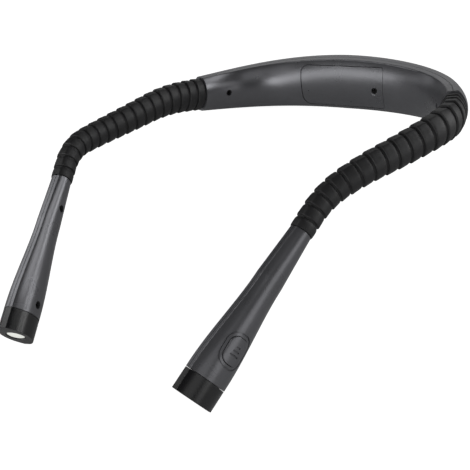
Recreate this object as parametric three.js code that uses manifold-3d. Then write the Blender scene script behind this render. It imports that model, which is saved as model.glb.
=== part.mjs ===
// A hands-free reading light that is worn round the neck. A curved battery housing, the yoke, lies
// behind the neck. A ribbed flexible arm runs forward from each of its ends to a flat lamp head.
// Sizes are in millimetres and angles in degrees. The pieces are placed as worn: +Z is up, -Y is
// forward and the arms' roots lie on the X axis, the right one at +X. At the end the light is laid
// on a table.

import * as THREE from 'three';
import { mergeVertices } from 'three/addons/utils/BufferGeometryUtils.js';
import Module from 'manifold-3d';

const wasm = await Module();
wasm.setup();

// Yoke: its centre line, seen from above, and its section at the middle and at the roots
const yokeSpan = 160;
const yokeDepth = 47.4;
const yokeMiddleReach = 42.5;
const yokeRootReach = 40;
const yokeRootSplay = 13;
const yokeArch = 7.4;
const yokeMiddleHeight = 31.8;
const yokeMiddleFront = 8;
const yokeMiddleBack = 10.5;
const yokeMiddleFacet = 9;
const yokeMiddleLean = 16.4;
const yokeRootHeight = 21;
const yokeRootThickness = 14.2;
const yokeRootFacet = 5.2;
const yokeRootLean = 6.2;
const yokeWall = 1.8;
const yokeEndWall = 10;
const yokeScrewInset = 19.4;

// Battery cover in the yoke's inner wall
const coverLength = 54;
const coverHeight = 24.6;
const coverLeftRadius = 4.7;
const coverRightRadius = 1.6;
const coverScrewInset = 4.8;
const coverScrewDrop = 1;

// Cells, their contacts and the ribs that carry them
const cellLength = 44.5;
const cellDiameter = 10.5;
const cellNubLength = 1;
const cellNubDiameter = 3.8;
const plateThickness = 0.5;
const plateWidth = 7;
const plateHeight = 8;
const springLength = 2.6;
const springDiameter = 5.4;
const springWireDiameter = 0.7;
const springTurns = 3;
const partitionThickness = 1.2;
const cradleRibThickness = 1.5;
const cradleRibShares = [-0.25, 0.25];
const leadDiameter = 1.2;
const leadHeight = 5.5;

// Flexible arms: a rubber sleeve of bands over a gooseneck of links
const bandPitch = 7;
const rootBands = 2;
const stretchBands = [4, 4, 3, 3];
const collarLength = 10.2;
const armRootHeight = 19.6;
const armRootWidth = 14;
const armRootFacet = 5.2;
const armEndHeight = 11.8;
const armEndWidth = 11;
const armEndFacet = 3.2;
const grooveDepth = 0.6;
const grooveWidth = 1;
const linkDiameter = 6;
const sleeveClearance = 0.6;
const linkSocketDepth = 8;
const rightBends = { down: [17.8, -3.3, 10.5, 15.1], inward: [44.4, 0.8, 4.3, -16.6] };
const leftBends = { down: [14.3, -0.3, -5.3, 32.3], inward: [1.8, -1.8, 14.9, 16.8] };

// Lamp heads, with their full sizes at the start, the waist and the end
const headLength = 87;
const headStartHeight = 10.8;
const headStartWidth = 9.8;
const headWaistHeight = 14.8;
const headWaistWidth = 10.6;
const headEndHeight = 22.6;
const headEndWidth = 14.8;
const headFacet = 3.2;
const headWaistShare = 0.3;
const headFullShare = 0.85;
const headWall = 1.6;
const headNeckLength = 10;
const headScrewStart = 17.5;
const headScrewInset = 16;
const capLength = 10.5;
const capFrontWall = 1.6;
const spigotLength = 2.2;

// Lamp parts inside the cap
const lensHoleDiameter = 9.6;
const lensFlangeDiameter = 10.6;
const lensFlangeThickness = 0.8;
const lampBoreClearance = 0.3;
const shoulderBoreDiameter = 8.4;
const shoulderHeight = 0.5;
const reflectorThroatDiameter = 3.6;
const reflectorThickness = 0.6;
const ledBoardThickness = 1;
const ledSize = 2;
const ledHeight = 0.8;

// Button, switch and switch board behind the head's outer shell
const buttonInset = 26.5;
const buttonLength = 13;
const buttonWidth = 10;
const buttonCornerRadius = 3.6;
const buttonProud = 0.4;
const buttonTravel = 0.4;
const buttonFlange = 0.8;
const buttonDepth = 2.4;
const switchHeight = 1.5;
const switchSize = 4.5;
const boardLength = 12;
const boardWidth = 9;
const boardThickness = 1;
const boardRibThickness = 1.2;
const boardRibSpacing = 8;

// Screws and the pockets they sit in
const screwHeadDiameter = 3.2;
const screwHeadHeight = 1.1;
const screwShankDiameter = 1.8;
const screwGrip = 2;
const screwSink = 0.8;
const pocketDiameter = 3.8;
const socketDiameter = 5.6;
const bossDiameter = 4.6;

// Gaps and fineness
const gap = 0.3;
const cupClearance = 0.5;
const overrun = 30;
const mergeDistance = 1e-5;
const sideSteps = 4;
const sleeveSideSteps = 5;
const yokeSteps = 24;
const roundSteps = 12;
const fineSteps = 18;
const smallSteps = 8;
const ballSteps = 6;
const cornerSteps = 2;
const wireSteps = 3;
const headShares = [0.3, 0.42, 0.53, 0.64, 0.75, 0.85];
const degree = Math.PI / 180;
const halfTurn = Math.PI;
const quarterTurn = Math.PI / 2;
const settleRounds = 12;
const leanPower = 2;
const taperPower = 1.5;

// Looks
function look(color, roughness, metalness = 0) {
  return new THREE.MeshStandardMaterial({ color, roughness, metalness });
}

const greyPlastic = look(0x48484c, 0.42);
const blackPlastic = look(0x161618, 0.3);
const rubber = look(0x1c1c1e, 0.8);
const steel = look(0x3a3a3c, 0.45, 0.9);
const springSteel = look(0xb8b8b4, 0.3, 0.95);
const cellWrap = look(0x8c8f94, 0.4, 0.3);
const clearLens = new THREE.MeshStandardMaterial({
  color: 0xe8ebe4, roughness: 0.12, metalness: 0, transparent: true, opacity: 0.5,
});
const mirrorFinish = look(0xd8d8d4, 0.15, 0.9);
const boardGreen = look(0x2c5a3a, 0.5);
const ledYellow = look(0xe8dc8a, 0.4);
const leadRed = look(0x9a2a22, 0.5);

const blend = (from, to, share) => from + (to - from) * share;
const smooth = (share) => share * share * (3 - 2 * share);
const clamp = THREE.MathUtils.clamp;

// A frame is a place with three square directions: out, away from the wearer; top; and along.
function frameAt(at, along, top) {
  return { at, along, top, out: top.clone().cross(along) };
}

const homeFrame = frameAt(new THREE.Vector3(), new THREE.Vector3(0, 0, 1), new THREE.Vector3(0, 1, 0));

function moved(frame, out, top, along) {
  const at = frame.at.clone()
    .addScaledVector(frame.out, out)
    .addScaledVector(frame.top, top)
    .addScaledVector(frame.along, along);
  return { ...frame, at };
}

// The same place looking back along the piece.
function reversed(frame) {
  return frameAt(frame.at.clone(), frame.along.clone().negate(), frame.top.clone());
}

function matrixOf(frame) {
  return new THREE.Matrix4().makeBasis(frame.out, frame.top, frame.along).setPosition(frame.at);
}

// The frame at the far end of a circular arc that turns down and inward by the two angles.
function bent(frame, length, down, inward) {
  const turn = frame.out.clone().multiplyScalar(down * degree)
    .addScaledVector(frame.top, -inward * degree);
  const angle = turn.length();
  if (angle === 0) {
    return moved(frame, 0, 0, length);
  }
  const axis = turn.divideScalar(angle);
  const radius = length / angle;
  const side = axis.clone().cross(frame.along);
  const at = frame.at.clone()
    .addScaledVector(frame.along, radius * Math.sin(angle))
    .addScaledVector(side, radius * (1 - Math.cos(angle)));
  const along = frame.along.clone().applyAxisAngle(axis, angle);
  const top = frame.top.clone().applyAxisAngle(axis, angle);
  return frameAt(at, along, top);
}

// Solids from three.js geometry and back
function solidFrom(geometry, frame = homeFrame) {
  const bare = geometry.clone().applyMatrix4(matrixOf(frame));
  bare.deleteAttribute('normal');
  bare.deleteAttribute('uv');
  const merged = mergeVertices(bare, mergeDistance);
  const corners = [];
  const index = merged.index.array;
  for (let i = 0; i < index.length; i += 3) {
    const [a, b, c] = index.slice(i, i + 3);
    if (a !== b && b !== c && c !== a) {
      corners.push(a, b, c);
    }
  }
  return new wasm.Manifold(new wasm.Mesh({
    numProp: 3,
    vertProperties: new Float32Array(merged.attributes.position.array),
    triVerts: new Uint32Array(corners),
  }));
}

function geometryFrom(solid) {
  const mesh = solid.getMesh();
  const geometry = new THREE.BufferGeometry();
  geometry.setAttribute('position', new THREE.BufferAttribute(mesh.vertProperties, 3));
  geometry.setIndex(new THREE.BufferAttribute(mesh.triVerts, 1));
  geometry.computeVertexNormals();
  return geometry;
}

function piece(name, shape, material, frame = homeFrame) {
  const geometry = shape.isBufferGeometry ? shape : geometryFrom(shape);
  const mesh = new THREE.Mesh(geometry, material);
  mesh.name = name;
  return setAt(mesh, frame);
}

function setAt(object, frame) {
  object.position.copy(frame.at);
  object.quaternion.setFromRotationMatrix(matrixOf(frame).setPosition(0, 0, 0));
  return object;
}

function united(solids) {
  return solids.reduce((whole, solid) => whole.add(solid));
}

function cutBy(solid, cutters) {
  return cutters.reduce((rest, cutter) => rest.subtract(cutter), solid);
}

// Section outlines: two curved sides between a flat top and a flat bottom, corners counter-clockwise.
// Front is how far the section reaches inward, towards the wearer, and back how far outward.
function curvedSide(reach, section, steps) {
  const bulge = reach - section.facet / 2;
  const radius = (section.height ** 2 + bulge ** 2) / (2 * bulge);
  const sweep = Math.atan2(section.height, radius - bulge);
  return Array.from({ length: steps + 1 }, (_, step) => {
    const angle = sweep * (2 * step / steps - 1);
    return [reach - radius + radius * Math.cos(angle), radius * Math.sin(angle)];
  });
}

function mirrored(points) {
  return points.map(([x, y]) => [-x, y]).reverse();
}

function fullOutline(section, steps = sideSteps) {
  return [
    ...curvedSide(section.back, section, steps),
    ...mirrored(curvedSide(section.front, section, steps)),
  ];
}

// One side of the section, cut straight at the given distance from the middle.
function halfOutline(section, start, side) {
  const curve = curvedSide(side > 0 ? section.back : section.front, section, sideSteps);
  const points = [[start, -section.height], ...curve, [start, section.height]];
  return side > 0 ? points : mirrored(points);
}

function inset(section, wall) {
  return {
    front: section.front - wall,
    back: section.back - wall,
    height: section.height - wall,
    facet: section.facet,
  };
}

function mixed(from, to, share) {
  return {
    front: blend(from.front, to.front, share),
    back: blend(from.back, to.back, share),
    height: blend(from.height, to.height, share),
    facet: blend(from.facet, to.facet, share),
  };
}

function ringAt(frame, outline) {
  return outline.map(([x, y]) => moved(frame, x, y, 0).at);
}

// The skin between rings of corners; a closed run joins its last ring to its first, without end faces.
function skin(rings, closed) {
  const size = rings[0].length;
  const runs = closed ? rings.length : rings.length - 1;
  const index = [];
  for (let ring = 0; ring < runs; ring += 1) {
    const near = ring * size;
    const far = ((ring + 1) % rings.length) * size;
    for (let i = 0; i < size; i += 1) {
      const next = (i + 1) % size;
      index.push(near + i, near + next, far + next);
      index.push(near + i, far + next, far + i);
    }
  }
  const last = (rings.length - 1) * size;
  for (let i = 1; !closed && i + 1 < size; i += 1) {
    index.push(0, i + 1, i);
    index.push(last, last + i, last + i + 1);
  }
  const geometry = new THREE.BufferGeometry();
  const positions = rings.flat().flatMap((point) => point.toArray());
  geometry.setAttribute('position', new THREE.Float32BufferAttribute(positions, 3));
  geometry.setIndex(index);
  geometry.computeVertexNormals();
  return geometry;
}

function loft(rings) {
  return solidFrom(skin(rings, false));
}

// A box between two limits in each direction of a frame
function block(frame, out, top, along) {
  const spans = [out, top, along];
  const sizes = spans.map(([from, to]) => to - from);
  const middles = spans.map(([from, to]) => (from + to) / 2);
  return solidFrom(new THREE.BoxGeometry(...sizes), moved(frame, ...middles));
}

// A round post along the out direction
function post(frame, diameter, from, to, steps = smallSteps) {
  const geometry = new THREE.CylinderGeometry(diameter / 2, diameter / 2, to - from, steps);
  geometry.rotateZ(-quarterTurn);
  return solidFrom(geometry, moved(frame, (from + to) / 2, 0, 0));
}

// A round rod along the along direction
function rod(frame, diameter, from, to, steps = roundSteps) {
  const geometry = new THREE.CylinderGeometry(diameter / 2, diameter / 2, to - from, steps);
  geometry.rotateX(quarterTurn);
  return solidFrom(geometry, moved(frame, 0, 0, (from + to) / 2));
}

// A turned piece on the along axis, from a profile of radius and distance along
function turned(profile, steps = roundSteps) {
  const geometry = new THREE.LatheGeometry(profile.map(([x, y]) => new THREE.Vector2(x, y)), steps);
  return geometry.rotateX(quarterTurn);
}

// A flat shape, drawn along by top, pushed through in the out direction
function slab(frame, shape, from, to) {
  const geometry = new THREE.ExtrudeGeometry(shape, {
    depth: to - from, bevelEnabled: false, curveSegments: cornerSteps,
  });
  const pushed = {
    at: moved(frame, to, 0, 0).at,
    out: frame.along,
    top: frame.top,
    along: frame.out.clone().negate(),
  };
  return solidFrom(geometry, pushed);
}

function roundedShape(length, height, leftRadius, rightRadius) {
  const right = length / 2;
  const up = height / 2;
  const shape = new THREE.Shape();
  shape.moveTo(-right + leftRadius, -up);
  shape.lineTo(right - rightRadius, -up);
  shape.absarc(right - rightRadius, -up + rightRadius, rightRadius, -quarterTurn, 0);
  shape.lineTo(right, up - rightRadius);
  shape.absarc(right - rightRadius, up - rightRadius, rightRadius, 0, quarterTurn);
  shape.lineTo(-right + leftRadius, up);
  shape.absarc(-right + leftRadius, up - leftRadius, leftRadius, quarterTurn, halfTurn);
  shape.lineTo(-right, -up + leftRadius);
  shape.absarc(-right + leftRadius, -up + leftRadius, leftRadius, halfTurn, halfTurn + quarterTurn);
  return shape;
}

// Screws: each goes in from the inner side, and its place gives the distance to that side
function screwSolid(reach) {
  const headRadius = screwHeadDiameter / 2;
  const shankRadius = screwShankDiameter / 2;
  return turned([
    [0, 0],
    [headRadius, 0],
    [headRadius, screwHeadHeight],
    [shankRadius, screwHeadHeight],
    [shankRadius, reach],
    [0, reach],
  ], smallSteps);
}

const pocketDepth = screwSink + screwHeadHeight + gap;

// The screw's frame looks outward along its shank, and starts at the top of its head.
function screw(name, frame, surface) {
  const start = moved(frame, -surface + screwSink, 0, 0);
  const facing = frameAt(start.at, frame.out.clone(), frame.top.clone());
  return piece(name, screwSolid(surface - screwSink + screwGrip), steel, facing);
}

function pocketCuts(frame, surface) {
  return [
    post(frame, pocketDiameter, -surface - overrun, -surface + pocketDepth),
    post(frame, screwShankDiameter + 2 * gap, -surface, screwGrip + gap),
  ];
}

// Yoke: centre line, frames and sections. Its places run from -1 at the left root to 1 at the right
const halfSpan = yokeSpan / 2;
const yokeLine = new THREE.CubicBezierCurve(
  new THREE.Vector2(0, yokeDepth),
  new THREE.Vector2(yokeMiddleReach, yokeDepth),
  new THREE.Vector2(
    halfSpan - yokeRootReach * Math.sin(yokeRootSplay * degree),
    yokeRootReach * Math.cos(yokeRootSplay * degree),
  ),
  new THREE.Vector2(halfSpan, 0),
);

function yokeFrame(place) {
  const share = Math.abs(place);
  const side = place < 0 ? -1 : 1;
  const flat = yokeLine.getPoint(share);
  const slope = yokeLine.getTangent(share);
  const rise = yokeArch * (1 - (flat.x / halfSpan) ** 2);
  const climb = -2 * yokeArch * flat.x * slope.x / halfSpan ** 2;
  const along = new THREE.Vector3(slope.x, side * slope.y, side * climb).normalize();
  const up = new THREE.Vector3(0, 0, 1);
  const level = up.addScaledVector(along, -along.z).normalize();
  const lean = blend(yokeMiddleLean, yokeRootLean, share ** leanPower) * degree;
  const flatOut = level.clone().cross(along);
  const top = level.clone().multiplyScalar(Math.cos(lean)).addScaledVector(flatOut, -Math.sin(lean));
  return frameAt(new THREE.Vector3(side * flat.x, flat.y, rise), along, top);
}

// A section that reaches as far inward as outward
function evenSection(width, height, facet) {
  return { front: width / 2, back: width / 2, height: height / 2, facet };
}

const yokeMiddleSection = {
  front: yokeMiddleFront, back: yokeMiddleBack, height: yokeMiddleHeight / 2, facet: yokeMiddleFacet,
};
const yokeRootSection = evenSection(yokeRootThickness, yokeRootHeight, yokeRootFacet);

function yokeSection(place) {
  return mixed(yokeMiddleSection, yokeRootSection, Math.abs(place) ** taperPower);
}

function yokePlaceAt(distance) {
  return yokeLine.getUtoTmapping(0, distance);
}

function yokeLoft(from, to, outlineAt) {
  const places = Array.from({ length: yokeSteps + 1 }, (_, step) => (
    blend(from, to, step / yokeSteps)
  ));
  return loft(places.map((place) => ringAt(yokeFrame(place), outlineAt(yokeSection(place)))));
}

const yokeCavityEnd = yokePlaceAt(yokeLine.getLength() - yokeEndWall);
const yokeScrewPlace = yokePlaceAt(yokeLine.getLength() - yokeScrewInset);
const yokeHalf = (side) => yokeLoft(-1, 1, (section) => halfOutline(section, gap / 2, side));
const yokeCavity = (side) => yokeLoft(-yokeCavityEnd, yokeCavityEnd, (section) => (
  halfOutline(inset(section, yokeWall), -yokeMiddleBack, side)
));

// All that lies behind a front wall of the given thickness, with the walls above and below it
const behindFrontWall = (wall) => yokeLoft(-yokeCavityEnd, yokeCavityEnd, (section) => {
  const room = inset(section, wall);
  return [
    [yokeMiddleBack, -yokeMiddleHeight],
    [yokeMiddleBack, yokeMiddleHeight],
    [0, yokeMiddleHeight],
    ...mirrored(curvedSide(room.front, room, sideSteps)),
    [0, -yokeMiddleHeight],
  ];
});
const yokeEnd = yokeFrame(1);
const linkBore = linkDiameter + 2 * gap;

// Battery compartment. Its ends lie on the yoke's centre line and the cells on the chord between them,
// in the lean of the middle section, one above the other
const coverScrewAlong = coverLength / 2 - coverScrewInset;
const compartmentLength = cellLength + springLength + 2 * plateThickness + 5 * gap;
const compartmentEnd = coverScrewAlong - bossDiameter / 2 - 2 * gap - partitionThickness;
const compartmentStart = compartmentEnd - compartmentLength;
const halfCompartment = compartmentLength / 2;
const cellHeight = (cellDiameter + gap) / 2;
const plateFace = halfCompartment - gap - plateThickness;

// The frame over the yoke at a distance to the right of its middle
function yokeFrameOver(distance) {
  return yokeFrame(Math.sign(distance) * yokePlaceAt(Math.abs(distance)));
}

function chordFrame() {
  const from = yokeFrameOver(compartmentStart);
  const to = yokeFrameOver(compartmentEnd);
  const crest = yokeFrameOver((compartmentStart + compartmentEnd) / 2);
  const along = to.at.clone().sub(from.at).normalize();
  const top = crest.top.clone().addScaledVector(along, -crest.top.dot(along)).normalize();
  const chordMiddle = from.at.clone().add(to.at).multiplyScalar(1 / 2);
  const frame = frameAt(chordMiddle, along, top);
  const sag = crest.at.clone().sub(chordMiddle).dot(frame.out);
  return moved(frame, sag / 2 + (yokeMiddleBack - yokeMiddleFront) / 2, 0, 0);
}

const stackFrame = chordFrame();

// The cover pulls straight forward, so its edges and its screw run that way too.
const coverFrame = frameAt(
  moved(yokeFrame(0), -yokeMiddleFront, 0, 0).at, new THREE.Vector3(1, 0, 0), new THREE.Vector3(0, 0, 1),
);

function coverScrewAxis() {
  const place = yokePlaceAt(coverScrewAlong);
  const face = moved(yokeFrame(place), -yokeSection(place).front, -coverScrewDrop, 0);
  return moved({ ...coverFrame, at: face.at }, yokeMiddleFront, 0, 0);
}

const coverScrewFrame = coverScrewAxis();

// The upper cell points left and the lower one right, each with its nub at a contact plate.
function cellFrames() {
  return [
    moved(reversed(stackFrame), 0, cellHeight, 0),
    moved(stackFrame, 0, -cellHeight, 0),
  ];
}

function cellRooms() {
  const across = plateWidth / 2 + gap;
  const bridgeRoom = block(
    stackFrame, [-across, across], [-cellHeight, cellHeight], [plateFace - gap, halfCompartment],
  );
  const rooms = cellFrames().map((frame) => (
    rod(frame, cellDiameter + 2 * gap, -halfCompartment, halfCompartment)
  ));
  return [...rooms, bridgeRoom];
}

// The way by which the cells go in, in front of their axes
function cellAccess() {
  const reach = cellHeight + cellDiameter / 2 + gap;
  return block(stackFrame, [-overrun, 0], [-reach, reach], [-halfCompartment, halfCompartment]);
}

function cradle() {
  const out = [-yokeMiddleBack, overrun];
  const top = [-yokeMiddleHeight, yokeMiddleHeight];
  const ribs = cradleRibShares.map((share) => {
    const middle = share * compartmentLength;
    return block(stackFrame, out, top, [middle - cradleRibThickness / 2, middle + cradleRibThickness / 2]);
  });
  const partitions = [
    block(stackFrame, out, top, [-halfCompartment - partitionThickness, -halfCompartment]),
    block(stackFrame, out, top, [halfCompartment, halfCompartment + partitionThickness]),
  ];
  return united([...ribs, ...partitions]);
}

function linkSockets() {
  return [yokeEnd, yokeFrame(-1)].map((frame, index) => {
    const inward = index === 0 ? -1 : 1;
    const limits = [inward * (linkSocketDepth + gap), -inward * gap].sort((a, b) => a - b);
    return rod(frame, linkBore, ...limits);
  });
}

function yokeScrewFrames() {
  return [yokeFrame(-yokeScrewPlace), yokeFrame(yokeScrewPlace)];
}

const yokeScrewSurface = yokeSection(yokeScrewPlace).front;

function yokeOuterShell() {
  const half = yokeHalf(1);
  const bosses = yokeScrewFrames().map((frame) => post(frame, bossDiameter, 0, yokeMiddleBack));
  const inside = united([cradle(), ...bosses]).intersect(half);
  const shell = half.subtract(yokeCavity(1)).add(inside).add(coverBoss(half));
  return cutBy(shell, [
    cellAccess(),
    ...linkSockets(),
    ...cellRooms(),
    ...yokeScrewFrames().flatMap((frame) => pocketCuts(frame, yokeScrewSurface)),
    ...pocketCuts(coverScrewFrame, yokeMiddleFront),
  ]);
}

// The post under the cover's screw stands from the outer wall to just behind the cover. Its front
// part reaches back past the slanted seam.
function coverBoss(half) {
  const root = post(coverScrewFrame, bossDiameter, 0, overrun).intersect(half);
  const reach = yokeMiddleFront - coverPadDepth - gap;
  return root.add(post(coverScrewFrame, bossDiameter, -reach, bossDiameter / 2));
}

const coverPadDepth = pocketDepth + yokeWall / 2;
const coverShape = (grow) => roundedShape(
  coverLength + 2 * grow, coverHeight + 2 * grow, coverLeftRadius + grow, coverRightRadius + grow,
);

function yokeInnerShell() {
  const half = yokeHalf(-1);
  const sockets = yokeScrewFrames().map((frame) => post(frame, socketDiameter, -yokeMiddleBack, 0));
  const shell = half.subtract(yokeCavity(-1)).add(united(sockets).intersect(half));
  return cutBy(shell, [
    slab(coverFrame, coverShape(gap), -overrun, overrun).subtract(behindFrontWall(yokeWall + gap)),
    ...linkSockets(),
    ...cellRooms(),
    ...yokeScrewFrames().flatMap((frame) => pocketCuts(frame, yokeScrewSurface)),
  ]);
}

function batteryCover() {
  const wall = yokeHalf(-1).subtract(behindFrontWall(yokeWall));
  const pad = post(coverScrewFrame, socketDiameter, -overrun, -yokeMiddleFront + coverPadDepth);
  const plate = wall.intersect(slab(coverFrame, coverShape(0), -overrun, overrun));
  return cutBy(plate.add(pad.intersect(yokeHalf(-1))), [
    ...pocketCuts(coverScrewFrame, yokeMiddleFront),
    ...cellRooms(),
  ]);
}

function cellSolid() {
  const radius = cellDiameter / 2;
  const tip = plateFace - gap;
  const shoulder = tip - cellNubLength;
  return turned([
    [0, tip - cellLength],
    [radius, tip - cellLength],
    [radius, shoulder],
    [cellNubDiameter / 2, shoulder],
    [cellNubDiameter / 2, tip],
    [0, tip],
  ]);
}

// The wire of a contact spring, which stands on its plate and reaches back to the cell's flat end
class Helix extends THREE.Curve {
  getPoint(share, target = new THREE.Vector3()) {
    const angle = share * springTurns * 2 * halfTurn;
    const radius = (springDiameter - springWireDiameter) / 2;
    const start = -plateFace + gap + springWireDiameter / 2;
    const rise = springLength - springWireDiameter;
    return target.set(radius * Math.cos(angle), radius * Math.sin(angle), start + rise * share);
  }
}

function wireAlong(curve, diameter, steps) {
  const shape = new THREE.Shape().absarc(0, 0, diameter / 2, 0, 2 * halfTurn);
  return new THREE.ExtrudeGeometry(shape, { steps, extrudePath: curve, curveSegments: wireSteps });
}

function contactPlate(name, frame, heights) {
  const plate = block(homeFrame, [-plateWidth / 2, plateWidth / 2], heights,
    [plateFace, plateFace + plateThickness]);
  return piece(name, plate, springSteel, frame);
}

function batteryPieces() {
  const [upper, lower] = cellFrames();
  const single = [-plateHeight / 2, plateHeight / 2];
  const double = [-cellHeight - plateHeight / 2, cellHeight + plateHeight / 2];
  const spring = wireAlong(new Helix(), springWireDiameter, springTurns * smallSteps);
  return [
    piece('cell_upper', cellSolid(), cellWrap, upper),
    piece('cell_lower', cellSolid(), cellWrap, lower),
    contactPlate('contact_bridge', stackFrame, double),
    contactPlate('contact_plate_upper', upper, single),
    contactPlate('contact_plate_lower', moved(reversed(stackFrame), 0, -cellHeight, 0), single),
    piece('contact_spring_upper', spring, springSteel, upper),
    piece('contact_spring_lower', spring.clone(), springSteel, lower),
  ];
}

// A lead runs in the hollow from the battery compartment to the root of an arm.
function leadPiece(name, side, start) {
  const from = yokePlaceAt(start);
  const to = yokePlaceAt(yokeLine.getLength() - yokeEndWall - gap);
  const points = Array.from({ length: smallSteps + 1 }, (_, step) => (
    moved(yokeFrame(side * blend(from, to, step / smallSteps)), 0, leadHeight, 0).at
  ));
  return piece(name, wireAlong(new THREE.CatmullRomCurve3(points), leadDiameter, smallSteps), leadRed);
}

function yokeGroup() {
  const [leftScrew, rightScrew] = yokeScrewFrames();
  const group = new THREE.Group();
  group.name = 'yoke';
  group.add(
    piece('yoke_outer_shell', yokeOuterShell(), greyPlastic),
    piece('yoke_inner_shell', yokeInnerShell(), greyPlastic),
    screw('yoke_screw_left', leftScrew, yokeScrewSurface),
    screw('yoke_screw_right', rightScrew, yokeScrewSurface),
    piece('battery_cover', batteryCover(), greyPlastic),
    screw('battery_cover_screw', coverScrewFrame, yokeMiddleFront),
    ...batteryPieces(),
    leadPiece('lead_left', -1, -compartmentStart + partitionThickness + leadDiameter),
    leadPiece('lead_right', 1, coverScrewAlong + bossDiameter / 2 + leadDiameter),
  );
  return group;
}

// Arms: distances run from the root of the arm to the start of the head
const rootLength = rootBands * bandPitch;
const stretchLengths = stretchBands.map((bands) => bands * bandPitch);
const bandCount = stretchBands.reduce((sum, bands) => sum + bands, rootBands);
const armLength = bandCount * bandPitch + collarLength;
const armRootSection = evenSection(armRootWidth, armRootHeight, armRootFacet);
const armEndSection = evenSection(armEndWidth, armEndHeight, armEndFacet);

function armFrame(bends, distance) {
  const first = Math.min(distance, rootLength);
  let frame = moved(yokeEnd, 0, 0, first);
  let rest = distance - first;
  stretchLengths.forEach((length, index) => {
    const share = Math.min(rest, length) / length;
    frame = bent(frame, share * length, share * bends.down[index], share * bends.inward[index]);
    rest -= share * length;
  });
  return moved(frame, 0, 0, rest);
}

function stretchMiddle(index) {
  const before = stretchLengths.slice(0, index).reduce((sum, length) => sum + length, rootLength);
  return before + stretchLengths[index] / 2;
}

function sleeveRing(bends, distance, sink) {
  const section = mixed(armRootSection, armEndSection, distance / armLength);
  return ringAt(armFrame(bends, distance), fullOutline(inset(section, sink), sleeveSideSteps));
}

// The bore's corners lie on the same rays as the outside's, so that the end faces stay clean.
function boreRing(bends, distance) {
  const section = mixed(armRootSection, armEndSection, distance / armLength);
  const radius = linkDiameter / 2 + sleeveClearance;
  const corners = fullOutline(section, sleeveSideSteps).map(([x, y]) => {
    const share = radius / Math.hypot(x, y);
    return [share * x, share * y];
  });
  return ringAt(armFrame(bends, distance), corners);
}

// One stretch of the sleeve, between two band edges. A groove lies at every edge.
function sleeve(name, bends, firstEdge, lastEdge) {
  const start = firstEdge * bandPitch + (firstEdge === 0 ? gap : gap / 2);
  const isLast = lastEdge === bandCount;
  const end = isLast ? armLength - gap : lastEdge * bandPitch - gap / 2;
  const outer = [];
  const inner = [];
  for (let edge = firstEdge; edge <= lastEdge; edge += 1) {
    const distance = edge * bandPitch;
    const atStart = edge === firstEdge;
    const atEnd = edge === lastEdge && !isLast;
    if (!atStart) {
      outer.push(sleeveRing(bends, distance - grooveWidth / 2, 0));
    }
    outer.push(sleeveRing(bends, clamp(distance, start, end), edge === 0 ? 0 : grooveDepth));
    if (!atEnd && edge > 0) {
      outer.push(sleeveRing(bends, distance + grooveWidth / 2, 0));
    }
    inner.push(boreRing(bends, clamp(distance, start, end)));
  }
  if (isLast) {
    outer.push(sleeveRing(bends, end, 0));
    inner.push(boreRing(bends, end));
  }
  return piece(name, skin([...outer, ...inner.reverse()], true), rubber);
}

// A link of the gooseneck: a bent rod with a cup at its start and a dome at its end
function link(name, bends, index) {
  const from = index === 0 ? -linkSocketDepth : stretchMiddle(index - 1);
  const isLast = index === stretchLengths.length;
  const to = isLast ? armLength + linkSocketDepth : stretchMiddle(index);
  const steps = Math.ceil((to - from) / bandPitch);
  const circle = Array.from({ length: smallSteps }, (_, step) => {
    const angle = 2 * halfTurn * step / smallSteps;
    return [linkDiameter / 2 * Math.cos(angle), linkDiameter / 2 * Math.sin(angle)];
  });
  const rings = Array.from({ length: steps + 1 }, (_, step) => (
    ringAt(armFrame(bends, blend(from, to, step / steps)), circle)
  ));
  let solid = loft(rings);
  if (!isLast) {
    solid = solid.add(ball(armFrame(bends, to), linkDiameter));
  }
  if (index > 0) {
    solid = solid.subtract(ball(armFrame(bends, from), linkDiameter + 2 * cupClearance));
  }
  return piece(name, solid, steel);
}

function ball(frame, diameter) {
  const geometry = new THREE.SphereGeometry(diameter / 2, smallSteps, ballSteps);
  geometry.rotateX(quarterTurn);
  return solidFrom(geometry, frame);
}

// Lamp heads: distances run from the end of the arm to the lamp's face
const headSections = [
  evenSection(headStartWidth, headStartHeight, headFacet),
  evenSection(headWaistWidth, headWaistHeight, headFacet),
  evenSection(headEndWidth, headEndHeight, headFacet),
];

function headSection(distance) {
  const share = distance / headLength;
  if (share < headWaistShare) {
    return mixed(headSections[0], headSections[1], share / headWaistShare);
  }
  const flare = clamp((share - headWaistShare) / (headFullShare - headWaistShare), 0, 1);
  return mixed(headSections[1], headSections[2], smooth(flare));
}

function headLoft(from, to, outlineAt) {
  const between = headShares
    .map((share) => share * headLength)
    .filter((distance) => distance > from && distance < to);
  return loft([from, ...between, to].map((distance) => (
    ringAt(moved(homeFrame, 0, 0, distance), outlineAt(headSection(distance)))
  )));
}

const shellEnd = headLength - capLength;
const buttonFrame = moved(homeFrame, 0, 0, headLength - buttonInset);
const buttonBase = buttonDepth;
const switchTop = buttonBase - buttonTravel - gap;
const boardTop = switchTop - switchHeight - gap;
const headScrewPlaces = [headScrewStart, headLength - headScrewInset];
const headScrewFrames = headScrewPlaces.map((distance) => moved(homeFrame, 0, 0, distance));
const headScrewSurfaces = headScrewPlaces.map((distance) => headSection(distance).front);
const buttonShape = (grow) => roundedShape(
  buttonLength + 2 * grow, buttonWidth + 2 * grow, buttonCornerRadius + grow, buttonCornerRadius + grow,
);

function headHalf(side) {
  return headLoft(0, shellEnd, (section) => halfOutline(section, gap / 2, side));
}

function headHollow(side) {
  return headLoft(headNeckLength, shellEnd + capLength, (section) => (
    halfOutline(inset(section, headWall), -headEndWidth, side)
  ));
}

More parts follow.
